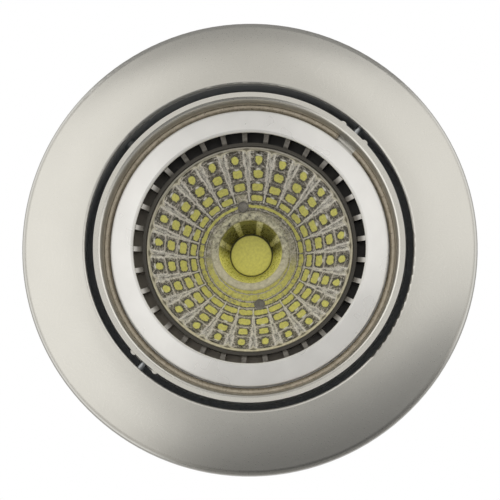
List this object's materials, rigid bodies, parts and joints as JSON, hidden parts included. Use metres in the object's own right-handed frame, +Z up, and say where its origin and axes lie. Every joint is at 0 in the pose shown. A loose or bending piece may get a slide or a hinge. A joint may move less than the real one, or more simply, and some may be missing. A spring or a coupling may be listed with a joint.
{
  "type": "recessed downlight",
  "caption": "Round recessed soffit downlight with a tilting lamp ring, a finned LED lamp in a twist-lock holder, and sprung clips that grip the soffit board.",
  "frame": {"origin": "on the light's axis in the plane of the soffit's outer face, which the trim's rim rests on", "axes": "+Z runs up into the soffit void, the light shines along -Z; the tilt axis lies along X and the two spring clips stand at +Y and -Y"},
  "size_m": [0.082, 0.082, 0.0616],
  "materials": {
    "satin_nickel": "satin nickel plate on a zinc die casting",
    "black_coated_steel": "satin black powder coat on pressed steel",
    "zinc_plated_steel": "bright zinc plate",
    "spring_wire": "drawn stainless spring wire",
    "passivated_wire": "yellow-passivated zinc on spring wire",
    "polished_aluminium": "turned and polished",
    "cast_aluminium": "as cast, blasted and darkened",
    "clear_lens": "clear optical acrylic, faceted",
    "phosphor": "silicone filled with phosphor",
    "white_board": "white solder resist on aluminium core",
    "ivory_plastic": "moulded, slightly glossy",
    "green_board": "green solder resist on glass fibre",
    "driver_components": "black moulded component bodies",
    "brass": "rolled brass, bare",
    "steatite": "pressed steatite, unglazed"
  },
  "bodies": {
    "fixing": {"trim_ring": "satin_nickel", "pivot_frame": "black_coated_steel", "clip_bracket_left": "zinc_plated_steel", "clip_bracket_right": "zinc_plated_steel", "bracket_rivets": "zinc_plated_steel", "clip_pin_left": "zinc_plated_steel", "clip_pin_right": "zinc_plated_steel", "clip_spring_left": "spring_wire", "clip_spring_right": "spring_wire", "pivot_washers": "zinc_plated_steel"},
    "gimbal": {"pivot_pins": "zinc_plated_steel", "tilt_ring": "satin_nickel", "lamp_circlip": "passivated_wire", "lamp_front_ring": "polished_aluminium", "lamp_heat_sink": "cast_aluminium", "lamp_lens": "clear_lens", "board_screws": "zinc_plated_steel", "led_board": "white_board", "led_emitter": "phosphor", "lamp_base": "ivory_plastic", "driver_board": "green_board", "driver_parts": "driver_components", "lamp_pins": "zinc_plated_steel"},
    "holder": {"holder_body": "steatite", "holder_contacts": "brass", "holder_cover": "steatite", "holder_rivets": "brass"},
    "left_clip": {"clip_arm_left": "zinc_plated_steel"},
    "right_clip": {"clip_arm_right": "zinc_plated_steel"}
  },
  "joints": [
    {"name": "tilt", "type": "hinge", "parent": "fixing", "child": "gimbal", "pos_m": [0, 0, -0.0012], "axis": [1, 0, 0], "range_deg": [-25, 25]},
    {"name": "holder_twist", "type": "hinge", "parent": "gimbal", "child": "holder", "pos_m": [0, 0, 0.05], "axis": [0, 0, 1], "range_deg": [0, 28]},
    {"name": "clip_left_fold", "type": "hinge", "parent": "fixing", "child": "left_clip", "pos_m": [0, -0.0335, 0.026], "axis": [1, 0, 0], "range_deg": [0, 21.5], "stiffness_Nm_per_rad": 0.1, "springref_deg": -45.84, "deforming": ["clip_spring_left"]},
    {"name": "clip_right_fold", "type": "hinge", "parent": "fixing", "child": "right_clip", "pos_m": [0, 0.0335, 0.026], "axis": [-1, 0, 0], "range_deg": [0, 21.5], "stiffness_Nm_per_rad": 0.1, "springref_deg": -45.84, "deforming": ["clip_spring_right"]}
  ]
}
